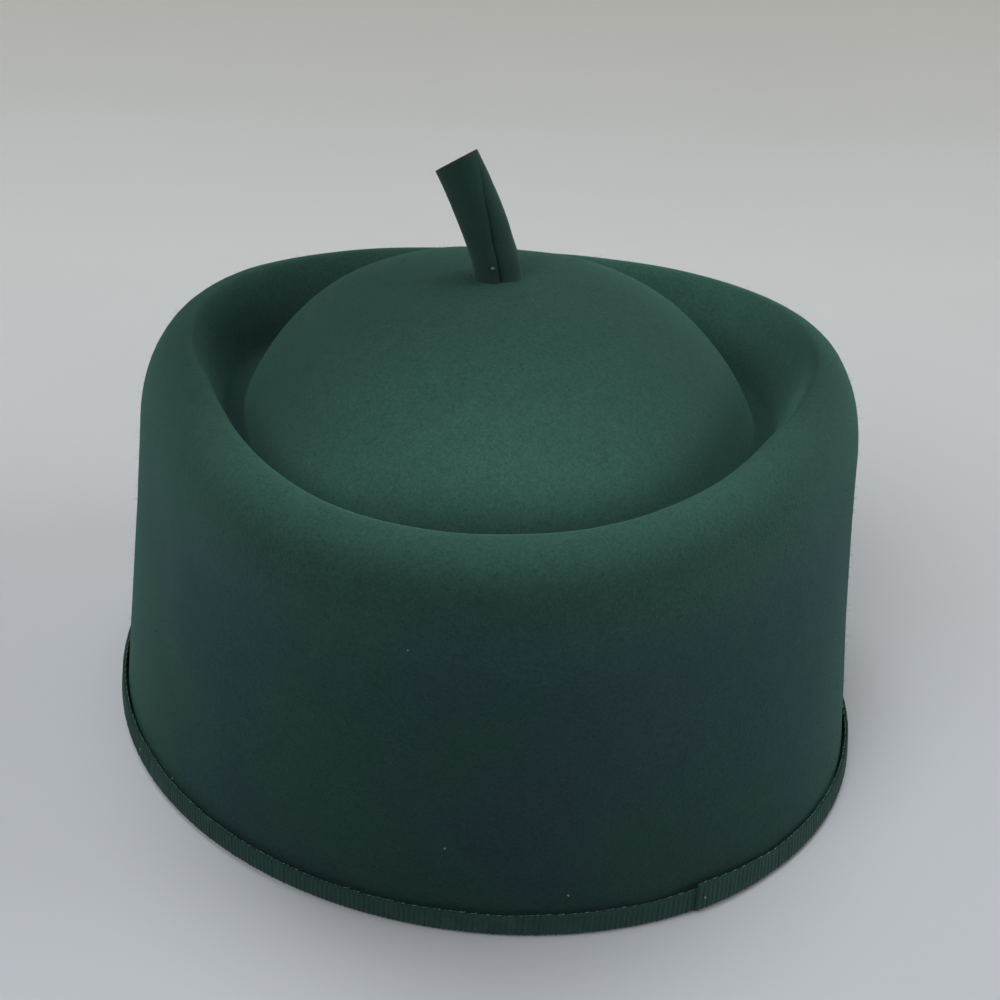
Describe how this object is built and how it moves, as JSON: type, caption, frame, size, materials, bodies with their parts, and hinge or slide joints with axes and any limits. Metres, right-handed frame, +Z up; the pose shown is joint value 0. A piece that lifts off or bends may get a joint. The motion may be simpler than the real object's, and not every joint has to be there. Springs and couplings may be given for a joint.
{
  "type": "prayer cap",
  "caption": "Brimless blocked felt cap with a rounded rim, a moat round a domed top, a short leaning felt stem and a ribbon-bound lower edge.",
  "frame": {"origin": "on the surface it rests on, under the middle of the cap's box", "axes": "+Z up, the wearer's front towards -Y, the stem leans towards -X"},
  "size_m": [0.1934, 0.1932, 0.1442],
  "materials": {
    "felt": "dark green wool felt, short matt nap",
    "ribbon": "dark green ribbed ribbon, matt",
    "stem_felt": "darker green wool felt, cut edges bare"
  },
  "bodies": {
    "root": {"crown": "felt", "edge_ribbon": "ribbon", "stem": "stem_felt"}
  },
  "joints": []
}
